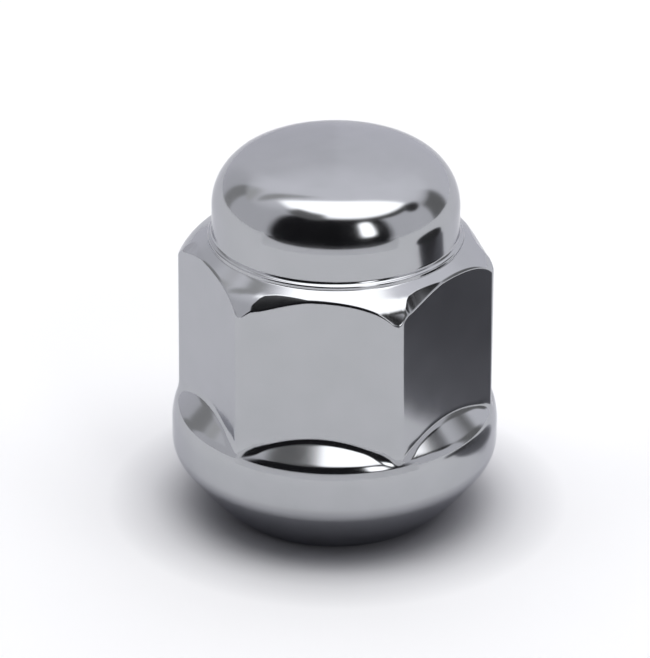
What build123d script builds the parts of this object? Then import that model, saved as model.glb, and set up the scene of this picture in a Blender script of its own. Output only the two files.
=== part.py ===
from build123d import *
import math
import os

# Closed-end wheel lug nut, cold formed from one piece of steel and chrome plated.
# Millimetres, +Z up. The origin is the centre of the foot face, and the nut stands on that face.

# Hexagon
hex_across_flats = 19.0
hex_corner_radius = 0.9

# Foot and ball seat. Past its outer diameter the seat goes on to the flange as a cone tangent to the ball.
foot_diameter = 14.4
foot_edge_radius = 0.4
seat_ball_radius = 12.0
seat_outer_diameter = 18.8

# Flange between the seat and the hexagon, which stands out past the hexagon's corners.
# Above its straight wall it curves inwards, through the lean angle, up to the rim.
flange_overhang = 0.38
flange_wall_height = 2.0
flange_lower_radius = 2.5
flange_lean_radius = 4.1
flange_lean_angle = 21.0
flange_rim_radius = 1.2

# Pockets at the foot of the flats, where a cone runs up from the flange rim
pocket_cone_angle = 45.0
pocket_root_radius = 0.9

# Rounded shoulder at the top of the hexagon. Its drop is measured out to the hexagon's sharp corners.
shoulder_drop = 2.25
shoulder_radius = 3.0

# Domed end, which stands on the shoulder
dome_height = 7.0
dome_diameter = 16.9
dome_root_radius = 0.45
dome_edge_radius = 3.8
dome_crown_radius = 24.5
overall_height = 26.85

# Blind bore for an M12 x 1.5 stud, plain at the thread's minor diameter.
# The end thickness is the metal between the tip of the drill point and the crown.
stud_diameter = 12.0
thread_pitch = 1.5
mouth_chamfer = 1.1
drill_point_angle = 118.0
end_thickness = 3.2

# Sizes that follow from the ones above
hex_apothem = hex_across_flats / 2
hex_sharp_corner = hex_apothem / math.cos(math.pi / 6)
hex_corner_reach = hex_sharp_corner - hex_corner_radius / math.cos(math.pi / 6) + hex_corner_radius
flange_radius = hex_corner_reach + flange_overhang
foot_radius = foot_diameter / 2
ball_height = math.sqrt(seat_ball_radius**2 - foot_radius**2)
seat_outer_radius = seat_outer_diameter / 2
seat_drop = math.sqrt(seat_ball_radius**2 - seat_outer_radius**2)
seat_outer_height = ball_height - seat_drop
wall_bottom_height = seat_outer_height + (flange_radius - seat_outer_radius) * seat_outer_radius / seat_drop
wall_top_height = wall_bottom_height + flange_wall_height
shoulder_height = overall_height - dome_height
dome_radius = dome_diameter / 2
minor_radius = stud_diameter / 2 - 5 / 8 * thread_pitch * math.sqrt(3) / 2
drill_point_length = minor_radius / math.tan(math.radians(drill_point_angle / 2))
bore_depth = overall_height - end_thickness - drill_point_length


def arc_about(radius, centre_height, start, end):
    """Arc about a point on the axis, from start to end."""
    middle = sum(math.atan2(point[1] - centre_height, point[0]) for point in (start, end)) / 2
    through = (radius * math.cos(middle), centre_height + radius * math.sin(middle))
    return ThreePointArc(start, through, end)


def turned(edges, rounds=()):
    """Body of revolution about Z. rounds lists the outline's corners, each with its radius."""
    outline = make_face(edges)
    for corner, radius in rounds:
        vertex = outline.vertices().sort_by_distance((*corner, 0))[0]
        outline = fillet(vertex, radius)
    return revolve(Plane.XZ * outline, Axis.Z)


def flange():
    """Foot, ball seat, flange wall, rolled rim and the cone that runs up inside the hexagon."""
    foot = (foot_radius, 0)
    seat_outer = (seat_outer_radius, seat_outer_height)
    wall_bottom = (flange_radius, wall_bottom_height)
    wall_top = (flange_radius, wall_top_height)
    lean = JernArc(wall_top, (0, 1), flange_lean_radius, flange_lean_angle)
    rim = tuple(lean @ 1)[:2]
    cone_tip = (0, rim[1] + rim[0] * math.tan(math.radians(pocket_cone_angle)))
    edges = [
        Line((0, 0), foot),
        arc_about(seat_ball_radius, ball_height, foot, seat_outer),
        Line(seat_outer, wall_bottom),
        Line(wall_bottom, wall_top),
        lean,
        Line(rim, cone_tip),
        Line(cone_tip, (0, 0)),
    ]
    rounds = [(foot, foot_edge_radius), (wall_bottom, flange_lower_radius), (rim, flange_rim_radius)]
    return turned(edges, rounds)


def hexagon_bar():
    """Hexagonal bar with rounded corners, one flat towards -Y. It starts inside the flange."""
    start = wall_top_height - flange_wall_height / 4
    section = Pos(0, 0, start) * RegularPolygon(hex_apothem, 6, major_radius=False)
    bar = extrude(section, overall_height - start)
    return fillet(bar.edges().filter_by(Axis.Z), hex_corner_radius)


def head_form():
    """Turned form of the shoulder and the dome, which the hexagonal bar is trimmed to."""
    crown_centre_height = overall_height - dome_crown_radius
    shoulder_root = (dome_radius, shoulder_height)
    shoulder_corner = (hex_sharp_corner, shoulder_height - shoulder_drop)
    skirt_top = (flange_radius, shoulder_corner[1])
    dome_edge = (dome_radius, crown_centre_height + math.sqrt(dome_crown_radius**2 - dome_radius**2))
    apex = (0, overall_height)
    edges = [
        Line((0, 0), (flange_radius, 0)),
        Line((flange_radius, 0), skirt_top),
        Line(skirt_top, shoulder_corner),
        RadiusArc(shoulder_root, shoulder_corner, shoulder_radius),
        Line(shoulder_root, dome_edge),
        arc_about(dome_crown_radius, crown_centre_height, dome_edge, apex),
        Line(apex, (0, 0)),
    ]
    return turned(edges, [(shoulder_root, dome_root_radius), (dome_edge, dome_edge_radius)])


def bore():
    """Blind bore with a chamfered mouth and a drilled end."""
    mouth_radius = minor_radius + mouth_chamfer
    edges = Polyline(
        (0, 0),
        (mouth_radius, 0),
        (minor_radius, mouth_chamfer),
        (minor_radius, bore_depth),
        (0, bore_depth + drill_point_length),
        close=True,
    )
    return turned(edges)


def lug_nut():
    """The whole nut, with the roots of its pockets rounded."""
    base = flange()
    head = hexagon_bar() & head_form()
    joined = base + head
    roots = [edge for edge in new_edges(base, head, combined=joined) if edge.bounding_box().size.Z > 0]
    return fillet(roots, pocket_root_radius) - bore()


os.makedirs("parts", exist_ok=True)
export_step(lug_nut(), "parts/lug_nut.step")
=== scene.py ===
# Looks of a chrome-plated closed-end lug nut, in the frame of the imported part.
import math

import bpy
import numpy as np
from mathutils import Matrix


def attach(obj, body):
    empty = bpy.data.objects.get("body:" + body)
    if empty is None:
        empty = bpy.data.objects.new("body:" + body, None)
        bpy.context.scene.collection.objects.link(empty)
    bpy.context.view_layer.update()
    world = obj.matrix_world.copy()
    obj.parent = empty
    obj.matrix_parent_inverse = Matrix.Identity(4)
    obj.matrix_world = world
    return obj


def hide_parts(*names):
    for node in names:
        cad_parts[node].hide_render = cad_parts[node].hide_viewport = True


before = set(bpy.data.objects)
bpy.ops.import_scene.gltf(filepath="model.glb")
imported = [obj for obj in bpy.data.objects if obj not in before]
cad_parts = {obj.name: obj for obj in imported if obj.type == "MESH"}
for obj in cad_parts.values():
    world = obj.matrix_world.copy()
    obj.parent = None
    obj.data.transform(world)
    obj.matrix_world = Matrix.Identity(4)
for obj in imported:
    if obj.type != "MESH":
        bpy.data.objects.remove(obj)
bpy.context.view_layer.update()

mm = 0.001


def colour(code):
    # sRGB hex to linear
    parts = [int(code[i : i + 2], 16) / 255 for i in (1, 3, 5)]
    return [p / 12.92 if p <= 0.04045 else ((p + 0.055) / 1.055) ** 2.4 for p in parts] + [1]


def addNode(tree, kind, settings=None, inputs=None, links=None):
    node = tree.nodes.new(kind)
    for name, value in (settings or {}).items():
        setattr(node, name, value)
    for name, value in (inputs or {}).items():
        node.inputs[name].default_value = value
    for name, source in (links or {}).items():
        tree.links.new(source, node.inputs[name])
    return node


def newMaterial(name):
    material = bpy.data.materials.new(name)
    material.use_nodes = True
    material.node_tree.nodes.clear()
    return material, material.node_tree


def arc(centre, radius, start, end, steps, first=True):
    # points of an arc in the section, angles in degrees
    angles = np.radians(np.linspace(start, end, steps + 1))[0 if first else 1 :]
    return [(centre[0] + radius * math.cos(a), centre[1] + radius * math.sin(a)) for a in angles]


def angleTo(centre, point):
    return math.degrees(math.atan2(point[1] - centre[1], point[0] - centre[0]))


def leg(hypotenuse, side):
    return math.sqrt(hypotenuse**2 - side**2)


def pickOnly(piece):
    bpy.ops.object.select_all(action="DESELECT")
    piece.select_set(True)
    bpy.context.view_layer.objects.active = piece


def openEdit(piece):
    pickOnly(piece)
    bpy.ops.object.mode_set(mode="EDIT")
    bpy.ops.mesh.select_mode(type="VERT")
    bpy.ops.mesh.select_all(action="DESELECT")


def selectVertices(piece, test):
    # test takes a vertex's distance from the axis and its height, in millimetres
    bpy.ops.mesh.select_all(action="DESELECT")
    bpy.ops.object.mode_set(mode="OBJECT")
    for vertex in piece.data.vertices:
        x, y, z = vertex.co
        vertex.select = bool(test(math.hypot(x, y) / mm, z / mm))
    bpy.ops.object.mode_set(mode="EDIT")


def drawOutline(name, points):
    # an open outline in the XZ plane, in millimetres
    mesh = bpy.data.meshes.new(name)
    corners = [(r * mm, 0, z * mm) for r, z in points]
    mesh.from_pydata(corners, [(i, i + 1) for i in range(len(points) - 1)], [])
    piece = bpy.data.objects.new(name, mesh)
    bpy.context.scene.collection.objects.link(piece)
    return piece


# the nut, in millimetres and degrees, with the part's own sizes
# The collar at the dome's root, the rounding of the shoulder's creases and the facet across each of them are too
# fine for the part and are made here. The guard is the distance from an arc to the row beside it.
nut = {
    "apothem": 9.5, "cornerRadius": 0.9,
    "footRadius": 7.2, "footEdge": 0.4, "ballRadius": 12.0, "seatOuter": 9.4,
    "overhang": 0.38, "wallHeight": 2.0, "lowerRadius": 2.5,
    "leanRadius": 4.1, "leanAngle": 21, "rimRadius": 1.2,
    "rootRadius": 0.9, "rootAtCorner": 2.4, "rootGrowsFrom": 18,
    "shoulderDrop": 2.25, "shoulderRadius": 3.0, "shoulderRise": 0.35, "coneNormal": 57,
    "crease": 0.32, "facetNormal": 39.5,
    "facet": ((0, 0.02), (0.05, 0.14), (0.11, 0.62), (0.20, 0.50), (0.30, 0.27), (0.42, 0.02), (1, 0.02)),
    "collarRadius": 8.722, "collarEdge": 0.16, "collarTop": 20.36, "collarRoot": 0.08, "collarNormal": 60,
    "domeHeight": 7.0, "domeRadius": 8.45, "domeRoot": 0.3, "domeEdge": 3.8,
    "crownRadius": 24.5, "height": 26.85,
    "studRadius": 6.0, "pitch": 1.5, "mouthChamfer": 1.1, "drillAngle": 118, "endThickness": 3.2,
    "flatColumns": 38, "cornerColumns": 10, "cornerMargin": 0.4, "guard": 0.07, "smoothAngle": 32,
}
n = nut
cornerCentre = (n["apothem"] - n["cornerRadius"]) / math.cos(math.radians(30))
sharpCorner = n["apothem"] / math.cos(math.radians(30))
flangeRadius = cornerCentre + n["cornerRadius"] + n["overhang"]
minorRadius = n["studRadius"] - 5 / 8 * n["pitch"] * math.sqrt(3) / 2
mouthRadius = minorRadius + n["mouthChamfer"]
shoulderHeight = n["height"] - n["domeHeight"]

# seat ball, the cone tangent to it and the foot's edge
ball = (0, leg(n["ballRadius"], n["footRadius"]))
footEdge = (leg(n["ballRadius"] - n["footEdge"], ball[1] - n["footEdge"]), n["footEdge"])
seatAngle = -math.degrees(math.acos(n["seatOuter"] / n["ballRadius"]))
outward = (math.cos(math.radians(seatAngle)), math.sin(math.radians(seatAngle)))
lower = (flangeRadius - n["lowerRadius"],
         ball[1] + (n["ballRadius"] - n["lowerRadius"] - outward[0] * (flangeRadius - n["lowerRadius"])) / outward[1])
wallBottom = ball[1] - leg(n["ballRadius"], n["seatOuter"])
wallBottom += (flangeRadius - n["seatOuter"]) * -outward[0] / outward[1]
wallTop = wallBottom + n["wallHeight"]

# leaning wall, rim and the 45 degree cone of the pockets
lean = (flangeRadius - n["leanRadius"], wallTop)
rimCorner = arc(lean, n["leanRadius"], n["leanAngle"], n["leanAngle"], 0)[0]
coneLine = sum(rimCorner)
rimSum = coneLine - n["rimRadius"] * math.sqrt(2) - sum(lean)
rimProduct = (rimSum**2 - (n["leanRadius"] - n["rimRadius"]) ** 2) / 2
rimSpread = math.sqrt(rimSum**2 / 4 - rimProduct)
rim = (lean[0] + rimSum / 2 + rimSpread, lean[1] + rimSum / 2 - rimSpread)
rimStart = angleTo(lean, rim)

# shoulder, dome and crown
shoulderEnds = ((n["domeRadius"], shoulderHeight), (sharpCorner, shoulderHeight - n["shoulderDrop"]))
chord = math.dist(*shoulderEnds)
sag = leg(n["shoulderRadius"], chord / 2)
middle = [sum(pair) / 2 for pair in zip(*shoulderEnds)]
shoulder = (middle[0] - sag * n["shoulderDrop"] / chord, middle[1] - sag * (sharpCorner - n["domeRadius"]) / chord)

# the shoulder stands a little prouder than the part's own, and the creases' rounding brings its edges back to that
slope = (shoulder[0] - n["shoulderRise"], shoulder[1])
slopeRadius = n["shoulderRadius"] + n["shoulderRise"]
coneStart = arc(slope, slopeRadius, n["coneNormal"], n["coneNormal"], 0)[0]


def coneHeight(radius, offset):
    # height of the straight part of the shoulder, moved outwards by offset
    angle = math.radians(n["coneNormal"])
    return coneStart[1] + (coneStart[0] - radius) / math.tan(angle) + offset / math.sin(angle)


# collar: a step round the dome's root with a rounded edge
collarEdge = (n["collarRadius"] - n["collarEdge"], n["collarTop"])
collarRootX = n["collarRadius"] + n["collarRoot"]
collarRoot = (collarRootX, coneHeight(collarRootX, n["collarRoot"]))
domeRootX = n["domeRadius"] + n["domeRoot"]
ledgeEnd = arc(collarEdge, n["collarEdge"], n["collarNormal"], n["collarNormal"], 0)[0]
ledgeFall = 1 / math.tan(math.radians(n["collarNormal"]))
rootReach = n["domeRoot"] / math.sin(math.radians(n["collarNormal"]))
domeRoot = (domeRootX, ledgeEnd[1] + (ledgeEnd[0] - domeRootX) * ledgeFall + rootReach)
crown = (0, n["height"] - n["crownRadius"])
domeEdgeX = n["domeRadius"] - n["domeEdge"]
domeEdge = (domeEdgeX, crown[1] + leg(n["crownRadius"] - n["domeEdge"], domeEdgeX))

# azimuth from the middle of a flat to its end, and half of what a rounded corner takes up
flatRun = (n["apothem"] - n["cornerRadius"]) * math.tan(math.radians(30))
flatEnd = math.degrees(math.atan(flatRun / n["apothem"]))
halfCorner = 30 - flatEnd

# rows of faces along each piece of the outline
rowsOf = {
    "footEdge": 6, "ball": 9, "lower": 12, "lean": 8, "rim": 28, "root": 14, "creaseSide": 6, "creaseTop": 5,
    "slope": 16, "collarRoot": 4, "collarEdge": 6, "domeRoot": 8, "domeEdge": 34, "crown": 18,
}


def spaced(points, steps):
    # the same line with its points evenly spaced
    line = np.array(points)
    run = np.concatenate([[0], np.cumsum(np.hypot(*np.diff(line, axis=0).T))])
    places = np.linspace(0, run[-1], steps + 1)
    return list(zip(np.interp(places, run, line[:, 0]), np.interp(places, run, line[:, 1])))


def sectionAt(azimuth):
    # outline of the nut at one azimuth, from the mouth of the bore over the outside to the crown
    fromFlat = (azimuth + 30) % 60 - 30
    fromCorner = 30 - abs(fromFlat)
    if abs(fromFlat) < flatEnd:
        reach = n["apothem"] / math.cos(math.radians(fromFlat))
    else:
        aside = cornerCentre * math.sin(math.radians(fromCorner))
        reach = cornerCentre * math.cos(math.radians(fromCorner)) + leg(n["cornerRadius"], aside)
    share = max(0, (abs(fromFlat) - n["rootGrowsFrom"]) / (30 - n["rootGrowsFrom"]))
    root = n["rootRadius"] + (n["rootAtCorner"] - n["rootRadius"]) * share**2 * (3 - 2 * share)

    # the root's arc touches the column and either the cone or the rim
    centreX = reach + root
    rimEnd = 45
    pocket = [(centreX - root / math.sqrt(2), coneLine - centreX + root / math.sqrt(2))]
    centreZ = pocket[0][1] + root / math.sqrt(2)
    if pocket[0][0] > rim[0] + n["rimRadius"] / math.sqrt(2):
        centreZ = rim[1] + leg(n["rimRadius"] + root, centreX - rim[0])
        rimEnd = angleTo(rim, (centreX, centreZ))
        pocket = []

    # a narrow facet cuts the crease near the left end of each flat; the table gives its width from corner to corner
    # by the corners the shoulder is flatter than the facet, and there the crease's second arc turns back a little
    facet = float(np.interp((fromFlat + 30) / 60, *zip(*n["facet"])))
    crease = n["crease"]
    creaseX = reach - crease
    innerX = creaseX - facet
    slopeX = slope[0] + (slopeRadius - crease) * math.cos(math.radians(n["coneNormal"]))
    if innerX > slopeX:
        innerZ = slope[1] + leg(slopeRadius - crease, innerX - slope[0])
        innerAngle = angleTo(slope, (innerX, innerZ))
        run = arc(slope, slopeRadius, innerAngle, n["coneNormal"], 20)
    else:
        innerZ = coneHeight(innerX, -crease)
        innerAngle = n["coneNormal"]
        run = arc((innerX, innerZ), crease, innerAngle, innerAngle, 0)
    creaseZ = innerZ - facet / math.tan(math.radians(n["facetNormal"]))
    run += arc(collarRoot, n["collarRoot"], 180 + n["coneNormal"], 180 + n["coneNormal"], 0)

    ballStart = angleTo(ball, footEdge)
    crownAngle = angleTo(crown, domeEdge)
    guard = n["guard"]
    return [
        (mouthRadius, 0),
        *arc(footEdge, n["footEdge"], -90, ballStart, rowsOf["footEdge"]),
        *arc(ball, n["ballRadius"], ballStart, seatAngle, rowsOf["ball"], False),
        *arc(lower, n["lowerRadius"], seatAngle, 0, rowsOf["lower"]),
        *arc(lean, n["leanRadius"], 0, rimStart, rowsOf["lean"]),
        *spaced(arc(rim, n["rimRadius"], rimStart, rimEnd, 40) + pocket, rowsOf["rim"])[1:],
        *arc((centreX, centreZ), root, 180 + rimEnd, 180, rowsOf["root"], False),
        (reach, centreZ + guard),
        (reach, (centreZ + creaseZ) / 2),
        (reach, creaseZ - guard),
        *arc((creaseX, creaseZ), crease, 0, n["facetNormal"], rowsOf["creaseSide"]),
        *arc((innerX, innerZ), crease, n["facetNormal"], innerAngle, rowsOf["creaseTop"]),
        *spaced(run, rowsOf["slope"])[1:],
        *arc(collarRoot, n["collarRoot"], 180 + n["coneNormal"], 180, rowsOf["collarRoot"], False),
        *arc(collarEdge, n["collarEdge"], 0, n["collarNormal"], rowsOf["collarEdge"]),
        *arc(domeRoot, n["domeRoot"], 180 + n["collarNormal"], 180, rowsOf["domeRoot"]),
        (n["domeRadius"], domeRoot[1] + guard),
        (n["domeRadius"], domeEdge[1] - guard),
        *arc(domeEdge, n["domeEdge"], 0, crownAngle, rowsOf["domeEdge"]),
        *arc(crown, n["crownRadius"], crownAngle, 90, rowsOf["crown"], False),
    ]


# azimuths of the columns: close together over each rounded corner, with a guard column beside it
flatPart = np.linspace(halfCorner + n["cornerMargin"], 60 - halfCorner - n["cornerMargin"], n["flatColumns"] - 1)
cornerPart = np.linspace(-halfCorner, halfCorner, n["cornerColumns"] + 1)
oneSide = np.concatenate([cornerPart, flatPart])
columns = np.concatenate([oneSide + 60 * side for side in range(6)])
columnCount = len(columns)


def makeShell():
    # the outline of one flat is spun, then every column takes its own azimuth and section
    outline = sectionAt(-90)
    piece = drawOutline("lugNut", outline)
    openEdit(piece)
    bpy.ops.mesh.select_all(action="SELECT")
    bpy.ops.mesh.spin(steps=columnCount, angle=math.tau, use_auto_merge=True, center=(0, 0, 0), axis=(0, 0, 1))
    bpy.ops.mesh.select_all(action="SELECT")
    bpy.ops.mesh.remove_doubles(threshold=0.001 * mm)
    bpy.ops.object.mode_set(mode="OBJECT")

    places = np.empty(len(piece.data.vertices) * 3)
    piece.data.vertices.foreach_get("co", places)
    places = places.reshape(-1, 3)
    base = np.array(outline) * mm
    radius = np.hypot(places[:, 0], places[:, 1])
    rows = np.argmin(np.hypot(radius[:, None] - base[:, 0], places[:, 2, None] - base[:, 1]), axis=1)
    turns = np.arctan2(places[:, 1], places[:, 0]) / math.tau * columnCount
    column = np.round(turns).astype(int) % columnCount
    sections = np.array([sectionAt(azimuth) for azimuth in columns + 90]) * mm
    chosen = sections[column, rows]
    azimuths = np.radians(columns)[column]
    moved = np.stack([chosen[:, 0] * np.cos(azimuths), chosen[:, 0] * np.sin(azimuths), chosen[:, 1]], axis=1)
    piece.data.vertices.foreach_set("co", moved.ravel())
    piece.data.update()
    return piece


# the thread's turns and steps, the cuts in each side of its profile and the heights between which it runs out
thread = {"turns": 15, "steps": 120, "cuts": 3, "fade": (16.8, 18.4)}


def makeBore():
    # one pitch of the thread swept up the bore, trimmed at both ends, then the plain end and the drill point
    pitch = n["pitch"]
    depth = n["studRadius"] - minorRadius
    flank = depth * math.tan(math.radians(30))
    crest = pitch / 4
    knees = [(minorRadius, 0), (minorRadius, crest), (n["studRadius"], crest + flank),
             (n["studRadius"], pitch - flank), (minorRadius, pitch)]
    profile = [knees[0]]
    cuts = thread["cuts"]
    for a, b in zip(knees, knees[1:]):
        profile += [(a[0] + (b[0] - a[0]) * k / cuts, a[1] + (b[1] - a[1]) * k / cuts) for k in range(1, cuts + 1)]
    piece = drawOutline("bore", profile)
    pickOnly(piece)
    bpy.ops.object.modifier_add(type="SCREW")
    screw = piece.modifiers["Screw"]
    screw.screw_offset = pitch * mm
    screw.iterations = thread["turns"]
    screw.steps = screw.render_steps = thread["steps"]
    screw.use_merge_vertices = False
    bpy.ops.object.modifier_apply(modifier="Screw")

    mouthEnd = mouthRadius - n["studRadius"]
    fade = thread["fade"]
    for vertex in piece.data.vertices:
        x, y, z = vertex.co / mm
        z = min(max(z - pitch, mouthEnd), fade[1])
        radius = math.hypot(x, y)
        radius += (minorRadius - radius) * min(max((z - fade[0]) / (fade[1] - fade[0]), 0), 1)
        radius = max(radius, mouthRadius - z)
        scale = radius / math.hypot(x, y)
        vertex.co = (x * scale * mm, y * scale * mm, z * mm)
    openEdit(piece)
    bpy.ops.mesh.select_all(action="SELECT")
    bpy.ops.mesh.remove_doubles(threshold=0.001 * mm)
    bpy.ops.mesh.dissolve_degenerate(threshold=0.001 * mm)

    tipLength = minorRadius / math.tan(math.radians(n["drillAngle"] / 2))
    plainEnd = n["height"] - n["endThickness"] - tipLength
    selectVertices(piece, lambda r, z: abs(z - fade[1]) < 1e-3)
    bpy.ops.mesh.extrude_region_move(TRANSFORM_OT_translate={"value": (0, 0, (plainEnd - fade[1]) * mm)})
    bpy.ops.mesh.extrude_region_move(TRANSFORM_OT_translate={"value": (0, 0, tipLength * mm)})
    bpy.ops.mesh.merge(type="CENTER")
    bpy.ops.object.mode_set(mode="OBJECT")
    return piece


def makeNut():
    shell = makeShell()
    bore = makeBore()
    pickOnly(shell)
    bore.select_set(True)
    bpy.ops.object.join()
    openEdit(shell)
    mouthEnd = mouthRadius - n["studRadius"]
    selectVertices(shell, lambda r, z: r < mouthRadius + 0.01 and z < mouthEnd + 1e-3)
    bpy.ops.mesh.select_mode(type="EDGE")
    bpy.ops.mesh.bridge_edge_loops()
    bpy.ops.mesh.select_mode(type="VERT")
    bpy.ops.mesh.select_all(action="SELECT")
    bpy.ops.mesh.normals_make_consistent(inside=False)
    bpy.ops.object.mode_set(mode="OBJECT")
    bpy.ops.object.shade_smooth_by_angle(angle=math.radians(n["smoothAngle"]))
    return shell


def makeChrome():
    # decorative chrome over nickel on cold-formed steel
    # a cool mirror, a little soft, with faint mottling and waves where the steel under it was pressed
    material, tree = newMaterial("chromePlatingOnFormedSteel")
    place = addNode(tree, "ShaderNodeTexCoord")
    onNut = {"Vector": place.outputs["Object"]}
    waves = addNode(tree, "ShaderNodeTexNoise", inputs={"Scale": 150.0, "Detail": 2.0}, links=onNut)
    haze = addNode(tree, "ShaderNodeTexNoise", inputs={"Scale": 500.0, "Detail": 4.0}, links=onNut)
    tint = addNode(tree, "ShaderNodeMix", {"data_type": "RGBA"}, links={0: haze.outputs[0]})
    tint.inputs[6].default_value = colour("#a7a9ac")
    tint.inputs[7].default_value = colour("#b0b1b5")
    rough = addNode(tree, "ShaderNodeMapRange", links={"Value": haze.outputs[0]}, inputs={
        "From Min": 0.3, "From Max": 0.7, "To Min": 0.10, "To Max": 0.15})
    bump = addNode(tree, "ShaderNodeBump", links={"Height": waves.outputs[0]}, inputs={
        "Strength": 0.08, "Distance": 0.0002})
    # chromium hardly brightens towards its edges, so the grazing tint is under white
    shader = addNode(tree, "ShaderNodeBsdfPrincipled", inputs={
        "Metallic": 1.0, "Specular Tint": colour("#e2e2e6")}, links={
        "Base Color": tint.outputs[2], "Roughness": rough.outputs[0], "Normal": bump.outputs[0]})
    addNode(tree, "ShaderNodeOutputMaterial", links={"Surface": shader.outputs[0]})
    return material


print("nut")
piece = makeNut()
piece.data.materials.append(makeChrome())
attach(piece, "root")
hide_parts("lug_nut")
print("nut triangles", sum(len(p.vertices) - 2 for p in piece.data.polygons))

print("camera")
# millimetres and degrees, fitted to the photograph; the camera stands turned by its azimuth to the right of -Y
view = {
    "azimuth": 6.73, "distance": 360.92, "height": 191.6, "pitch": 26.32, "yaw": -0.11, "roll": 0.30,
    "lens": 325.35, "sensor": 36, "clipStart": 10,
}
turn = math.radians(view["azimuth"])
away = view["distance"] * mm
camera = bpy.data.objects.new("camera", bpy.data.cameras.new("camera"))
bpy.context.scene.collection.objects.link(camera)
camera.data.lens = view["lens"]
camera.data.sensor_fit = "HORIZONTAL"
camera.data.sensor_width = view["sensor"]
camera.data.clip_start = view["clipStart"] * mm
camera.matrix_world = (
    Matrix.Translation((away * math.sin(turn), -away * math.cos(turn), view["height"] * mm))
    @ Matrix.Rotation(turn - math.radians(view["yaw"]), 4, "Z")
    @ Matrix.Rotation(math.radians(90 - view["pitch"]), 4, "X")
    @ Matrix.Rotation(math.radians(view["roll"]), 4, "Z")
)
bpy.context.scene.camera = camera


def makeSheet(name, rings, middle=(0, 0), stretch=1.0):
    # a matt sheet whose tone changes with the distance from its middle: rings holds (mm, colour) pairs
    material, tree = newMaterial(name)
    place = addNode(tree, "ShaderNodeTexCoord")
    centred = addNode(tree, "ShaderNodeMapping", {"vector_type": "TEXTURE"}, {
        "Location": (middle[0] * mm, middle[1] * mm, 0), "Rotation": (0, 0, turn), "Scale": (1, stretch, 1)},
        {"Vector": place.outputs["Object"]})
    flat = addNode(tree, "ShaderNodeVectorMath", {"operation": "MULTIPLY"}, {1: (1, 1, 0)}, {0: centred.outputs[0]})
    away = addNode(tree, "ShaderNodeVectorMath", {"operation": "LENGTH"}, links={0: flat.outputs[0]})
    widest = rings[-1][0]
    share = addNode(tree, "ShaderNodeMath", {"operation": "DIVIDE"}, {1: widest * mm}, {0: away.outputs["Value"]})
    ramp = addNode(tree, "ShaderNodeValToRGB", links={"Fac": share.outputs[0]})
    stops = ramp.color_ramp.elements
    while len(stops) < len(rings):
        stops.new(0.5)
    for stop, (distance, code) in zip(stops, rings):
        stop.position = distance / widest
        stop.color = colour(code)
    shader = addNode(tree, "ShaderNodeBsdfPrincipled", inputs={"Roughness": 0.9}, links={
        "Base Color": ramp.outputs[0]})
    addNode(tree, "ShaderNodeOutputMaterial", links={"Surface": shader.outputs[0]})
    return material


def spunCard(name, outline, start, end, material, steps=24):
    # a card spun round the nut, azimuth 0 towards the camera and 90 to its right
    card = drawOutline(name, outline)
    card.data.transform(Matrix.Rotation(math.radians(start - 90) + turn, 4, "Z"))
    openEdit(card)
    bpy.ops.mesh.select_all(action="SELECT")
    bpy.ops.mesh.spin(steps=steps, angle=math.radians(start - end), center=(0, 0, 0), axis=(0, 0, 1))
    bpy.ops.mesh.select_all(action="SELECT")
    bpy.ops.mesh.remove_doubles(threshold=0.01 * mm)
    bpy.ops.mesh.normals_make_consistent(inside=False)
    bpy.ops.object.mode_set(mode="OBJECT")
    card.data.materials.append(material)
    return card


print("studio")
# painted shadow: the paper's colour is darkened near the foot, to make the contact shadow deeper than the tent gives;
# further out it keeps the paper's own colour
paperAndPaintedShadowTones = [(7, "#76767c"), (9, "#9b9ba0"), (11, "#c8c8cb"), (13, "#e3e3e5"), (16, "#f8f8f9"), (40, "#f9f9f9")]
shadeAside = 0.2
paperWithPaintedShadow = makeSheet("studioPaperWithPaintedShadow", paperAndPaintedShadowTones, (shadeAside * math.cos(turn), shadeAside * math.sin(turn)))
floorRadius = 3000
spunCard("floor", [(0, 0), (floorRadius, 0)], 0, 360, paperWithPaintedShadow, 96)

# The sheet's near edge is turned up round the nut. The lip's top rises at both ends, which rounds the corners of
# the dark bar on the dome. Black cloth lies behind it, and starts and ends just inside it.
edge = {"radius": 70, "height": 15, "start": -66, "end": 55, "rise": 12, "power": 7, "inset": 1}
lipLine = [(edge["radius"], 0), (edge["radius"], edge["height"])]
lip = spunCard("paperLip", lipLine, edge["start"], edge["end"], paperWithPaintedShadow, 60)
lipMiddle = (edge["start"] + edge["end"]) / 2
lipHalf = (edge["end"] - edge["start"]) / 2
for vertex in lip.data.vertices:
    x, y, z = Matrix.Rotation(-turn, 3, "Z") @ vertex.co / mm
    share = abs(math.degrees(math.atan2(x, -y)) - lipMiddle) / lipHalf
    if z > edge["height"] / 2:
        vertex.co.z = (edge["height"] + edge["rise"] * share ** edge["power"]) * mm
cloth = makeSheet("blackCloth", [(0, "#0c0c0e"), (40, "#0c0c0e")])
clothLine = [(edge["radius"] + edge["inset"], 1), (floorRadius, 1)]
apron = spunCard("clothBehindLip", clothLine, edge["start"] + edge["inset"], edge["end"] - edge["inset"], cloth)

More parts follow.
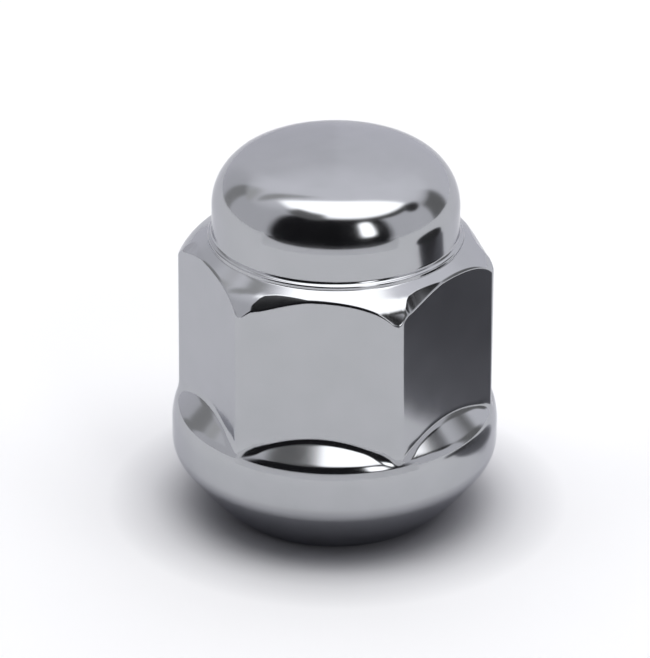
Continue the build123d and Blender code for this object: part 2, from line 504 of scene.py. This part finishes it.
# a dark tray to the nut's right and the shade beside it, both oval
ovals = {
    "darkTray": {"middle": (78, 0), "half": (34, 20), "height": 0.8,
                 "rings": [(0, "#060607"), (26, "#0c0c0e"), (30, "#2c2c30"), (34, "#6a6a6e")]},
    "trayShade": {"middle": (49, 5), "half": (31, 13), "height": 0.4,
                  "rings": [(0, "#46464a"), (8, "#4c4c50"), (13, "#525256"), (17, "#5d5d61"), (23, "#66666a"),
                            (28, "#78787c"), (31, "#d8d8da")]},
}
cards = [lip, apron]
for name, oval in ovals.items():
    x, y = oval["middle"]
    x, y = x * math.cos(turn) - y * math.sin(turn), x * math.sin(turn) + y * math.cos(turn)
    stretch = oval["half"][1] / oval["half"][0]
    sheet = makeSheet(name, oval["rings"], (x, y), stretch)
    card = spunCard(name, [(0, oval["height"]), (oval["half"][0], oval["height"])], 0, 360, sheet, 48)
    place = Matrix.Translation((x * mm, y * mm, 0)) @ Matrix.Rotation(turn, 4, "Z")
    card.data.transform(place @ Matrix.Diagonal((1, stretch, 1, 1)))
    cards.append(card)

# only the nut's reflections show these cards
for card in cards:
    card.visible_camera = False
    card.visible_diffuse = False
    card.visible_shadow = False

print("tent")
# The tent, as patches over one another. A patch has its middle and half size, how soft its edge is, its colour
# and its strength. On "wall" the places are azimuth and elevation in degrees. On "roof" they are distances
# to the right and away from the camera, over the height, and a last number cuts the patch off behind it.
tent = [
    ("wall", (0, 0), (900, 900), 0.1, "#fafaff", 0.95),
    ("wall", (125, 15), (50, 60), 0.5, "#fafaff", 1.04),
    ("wall", (-98, 10), (42, 55), 0.4, "#fafaff", 0.80),
    ("wall", (-122, 22), (5, 36), 0.8, "#fafafa", 0.42),
    ("wall", (70, 5), (32, 60), 0.4, "#fafaff", 0.86),
    ("wall", (112, 18), (9, 26), 0.6, "#fafafa", 0.24),
    ("roof", (0.20, 0.42), (1.20, 0.60), 0.7, "#fafaff", 1.18),
    ("roof", (-0.72, 0.25), (0.40, 0.08), 0.7, "#fafafa", 0.54),
    ("roof", (-1.30, 0.56), (0.42, 0.15), 0.6, "#fafafa", 0.72),
    ("wall", (-5, 22), (58, 32), 0.08, "#f4f4ff", 0.016),
    ("roof", (1.48, 0.04), (0.38, 0.22), 0.3, "#fafafa", 0.03),
    ("roof", (0.44, -0.14), (0.86, 0.66), 0.08, "#fafafa", 0.08, 0.06),
    ("roof", (0.18, 0.0), (0.82, 0.69), 0.12, "#ffffff", 2.65, 0.08),
    ("wall", (-40, 56), (22, 6), 0.4, "#fafafa", 0.20),
    ("wall", (31, 28), (7, 14), 0.2, "#ffffff", 3.0),
]
# a patch's outline is an even power of the distance: nearly square on the wall, round on the roof
power = {"wall": 4, "roof": 2}
cutSoft = 0.04
horizon = 0.02

world = bpy.data.worlds.new("tent")
bpy.context.scene.world = world
world.use_nodes = True
tree = world.node_tree
tree.nodes.clear()
place = addNode(tree, "ShaderNodeTexCoord")
toCamera = addNode(tree, "ShaderNodeVectorRotate", {"rotation_type": "Z_AXIS"}, {"Angle": -turn}, {
    "Vector": place.outputs["Generated"]})
parts = addNode(tree, "ShaderNodeSeparateXYZ", links={0: toCamera.outputs[0]})
towards = addNode(tree, "ShaderNodeMath", {"operation": "MULTIPLY"}, {1: -1.0}, {0: parts.outputs["Y"]})
azimuth = addNode(tree, "ShaderNodeMath", {"operation": "ARCTAN2"}, links={
    0: parts.outputs["X"], 1: towards.outputs[0]})
elevation = addNode(tree, "ShaderNodeMath", {"operation": "ARCSINE"}, links={0: parts.outputs["Z"]})
wall = addNode(tree, "ShaderNodeCombineXYZ", links={0: azimuth.outputs[0], 1: elevation.outputs[0]})
rise = addNode(tree, "ShaderNodeMath", {"operation": "MAXIMUM"}, {1: horizon}, {0: parts.outputs["Z"]})
level = addNode(tree, "ShaderNodeCombineXYZ", links={0: rise.outputs[0], 1: rise.outputs[0], 2: rise.outputs[0]})
roof = addNode(tree, "ShaderNodeVectorMath", {"operation": "DIVIDE"}, links={
    0: toCamera.outputs[0], 1: level.outputs[0]})
roofParts = addNode(tree, "ShaderNodeSeparateXYZ", links={0: roof.outputs[0]})
glow = None
for surface, middle, half, soft, code, strength, *cut in tent:
    unit = math.radians(1) if surface == "wall" else 1
    source = wall.outputs[0] if surface == "wall" else roof.outputs[0]
    offset = addNode(tree, "ShaderNodeVectorMath", {"operation": "SUBTRACT"}, {
        1: (middle[0] * unit, middle[1] * unit, 0)}, {0: source})
    square = addNode(tree, "ShaderNodeVectorMath", {"operation": "DIVIDE"}, {
        1: (half[0] * unit, half[1] * unit, 1)}, {0: offset.outputs[0]})
    for doubling in range(power[surface] // 2):
        square = addNode(tree, "ShaderNodeVectorMath", {"operation": "MULTIPLY"}, links={
            0: square.outputs[0], 1: square.outputs[0]})
    reach = addNode(tree, "ShaderNodeVectorMath", {"operation": "DOT_PRODUCT"}, {1: (1, 1, 0)}, {
        0: square.outputs[0]})
    mask = addNode(tree, "ShaderNodeMapRange", {"interpolation_type": "SMOOTHSTEP"}, {
        "From Min": (1 + soft) ** power[surface], "From Max": (1 - soft) ** power[surface]}, {
        "Value": reach.outputs["Value"]})
    if cut:
        front = addNode(tree, "ShaderNodeMapRange", {"interpolation_type": "SMOOTHSTEP"}, {
            "From Min": cut[0] + cutSoft, "From Max": cut[0] - cutSoft}, {"Value": roofParts.outputs["Y"]})
        mask = addNode(tree, "ShaderNodeMath", {"operation": "MULTIPLY"}, links={
            0: mask.outputs[0], 1: front.outputs[0]})
    blend = addNode(tree, "ShaderNodeMix", {"data_type": "RGBA"}, links={0: mask.outputs[0]})
    blend.inputs[6].default_value = (0, 0, 0, 1)
    if glow:
        tree.links.new(glow.outputs[2], blend.inputs[6])
    blend.inputs[7].default_value = [channel * strength for channel in colour(code)[:3]] + [1]
    glow = blend

# beyond the floor the camera itself sees plain white, and the nut goes on reflecting the tent
lightPath = addNode(tree, "ShaderNodeLightPath")
tentLight = addNode(tree, "ShaderNodeBackground", links={"Color": glow.outputs[2]})
plain = addNode(tree, "ShaderNodeBackground", inputs={"Color": (1, 1, 1, 1)})
either = addNode(tree, "ShaderNodeMixShader", links={
    0: lightPath.outputs["Is Camera Ray"], 1: tentLight.outputs[0], 2: plain.outputs[0]})
addNode(tree, "ShaderNodeOutputWorld", links={"Surface": either.outputs[0]})
bpy.context.scene.view_settings.view_transform = "Standard"
